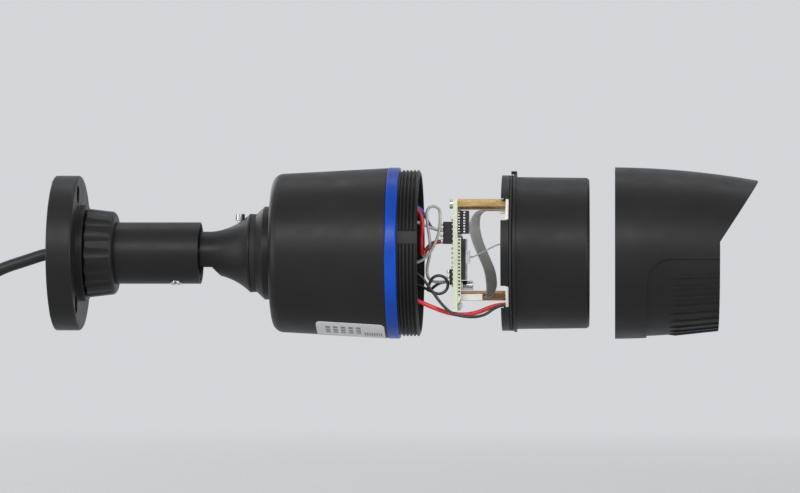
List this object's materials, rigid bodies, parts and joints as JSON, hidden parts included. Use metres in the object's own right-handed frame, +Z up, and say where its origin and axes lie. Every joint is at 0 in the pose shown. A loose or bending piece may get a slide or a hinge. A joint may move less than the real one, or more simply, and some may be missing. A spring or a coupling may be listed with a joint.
{
  "type": "tube security camera",
  "caption": "Black tube security camera on a wall bracket, drawn apart along its axis: threaded rear housing, front module with its boards and wires, and a screw-on hood with a visor.",
  "frame": {"origin": "middle of the wall flange's back face, on the circle of the wall bolts", "axes": "+X along the camera's axis from the wall to the hood, +Z up"},
  "size_m": [0.3441, 0.0704, 0.1832],
  "materials": {
    "black_plastic": "satin moulded",
    "blue_plastic": "glossy",
    "label_stock": "matt, with plain printed bars",
    "black_rubber": "matt",
    "black_sheath": "satin sheath",
    "black_metal": "satin",
    "steel": "plated",
    "brass": "bright",
    "pale_board": "glass fibre board",
    "white_board": "white solder mask",
    "black_resin": "matt",
    "plum_plastic": "glossy",
    "cream_plastic": "glossy",
    "can_aluminium": "bright",
    "ribbon_film": "satin film",
    "clear_glass": "polished",
    "coated_glass": "coated",
    "lamp_resin": "clear resin",
    "photocell": "resin",
    "red_vinyl": "glossy",
    "black_vinyl": "glossy",
    "grey_vinyl": "glossy",
    "white_vinyl": "glossy",
    "blue_vinyl": "glossy"
  },
  "bodies": {
    "base": {"wall_flange": "black_plastic", "cable_grommet": "black_rubber", "arm_cable": "black_sheath", "power_cable": "black_sheath", "cable_coil": "black_sheath", "cable_tail": "black_sheath", "coil_tie": "black_sheath", "dc_jack": "black_sheath", "jack_pin": "steel"},
    "lock_ring": {"lock_ring": "black_plastic"},
    "arm": {"bracket_arm": "black_plastic"},
    "tilt_lock": {"tilt_lock_screw": "steel"},
    "neck": {"ball_stem": "black_metal", "neck_horn": "black_plastic", "neck_cable": "black_sheath"},
    "roll_lock": {"roll_lock_screw": "steel"},
    "camera": {"rear_housing": "black_plastic", "trim_ring": "blue_plastic", "rating_label": "label_stock", "neck_seal": "black_rubber", "cable_bung": "black_rubber", "red_lamp_wire": "red_vinyl", "black_lamp_wire": "black_vinyl", "grey_wire": "grey_vinyl", "white_wire": "white_vinyl", "blue_wire": "blue_vinyl", "red_wire": "red_vinyl", "black_wire": "black_vinyl"},
    "front_module": {"front_barrel": "black_plastic", "carrier_board": "white_board", "main_board": "pale_board", "standoffs": "brass", "board_screws": "steel", "plug_o_ring": "black_rubber", "window_seal": "black_rubber", "window_glass": "clear_glass", "shield_can": "steel", "network_transformer": "black_resin", "antenna_socket": "steel", "wire_header": "plum_plastic", "power_header": "plum_plastic", "lower_ribbon_socket": "cream_plastic", "upper_ribbon_socket": "cream_plastic", "capacitors": "can_aluminium", "image_sensor": "black_resin", "lens_mount": "black_resin", "ribbon_cable": "ribbon_film", "lamp_board": "white_board", "infrared_lamps": "lamp_resin", "light_sensor": "photocell", "lens_shroud": "black_resin", "antenna_lead": "grey_vinyl"},
    "lens": {"lens_barrel": "black_metal", "lens_glass": "coated_glass"},
    "hood_seal": {"hood_gasket": "black_rubber"},
    "hood": {"hood": "black_plastic"}
  },
  "joints": [
    {"name": "lock_ring_turn", "type": "hinge", "parent": "base", "child": "lock_ring", "pos_m": [0.019, 0, 0], "axis": [1, 0, 0], "range_deg": [0, 180]},
    {"name": "arm_swivel", "type": "hinge", "parent": "base", "child": "arm", "pos_m": [0.04, 0, 0], "axis": [1, 0, 0], "range_deg": [-170, 170]},
    {"name": "tilt_lock_travel", "type": "slide", "parent": "arm", "child": "tilt_lock", "axis": [0, -0.2419, -0.9703], "range_m": [0, 0.0015]},
    {"name": "neck_tilt", "type": "hinge", "parent": "arm", "child": "neck", "pos_m": [0.05, 0, 0], "axis": [0, 1, 0], "range_deg": [-12, 20]},
    {"name": "roll_lock_travel", "type": "slide", "parent": "neck", "child": "roll_lock", "axis": [0, 0, 1], "range_m": [0, 0.003]},
    {"name": "camera_roll", "type": "hinge", "parent": "neck", "child": "camera", "pos_m": [0.078, 0, 0], "axis": [1, 0, 0], "range_deg": [-170, 170]},
    {"name": "module_slide", "type": "slide", "parent": "camera", "child": "front_module", "axis": [1, 0, 0], "range_m": [-0.0384, 0], "deforming": ["red_lamp_wire", "black_lamp_wire", "grey_wire", "white_wire", "blue_wire", "red_wire", "black_wire"]},
    {"name": "lens_focus", "type": "hinge", "parent": "front_module", "child": "lens", "pos_m": [0.2, 0, 0], "axis": [1, 0, 0], "range_deg": [-180, 180]},
    {"name": "hood_slide", "type": "slide", "parent": "front_module", "child": "hood_seal", "axis": [1, 0, 0], "range_m": [-0.0497, 0]},
    {"name": "hood_turn", "type": "hinge", "parent": "hood_seal", "child": "hood", "pos_m": [0.25, 0, 0], "axis": [1, 0, 0], "continuous": true}
  ]
}
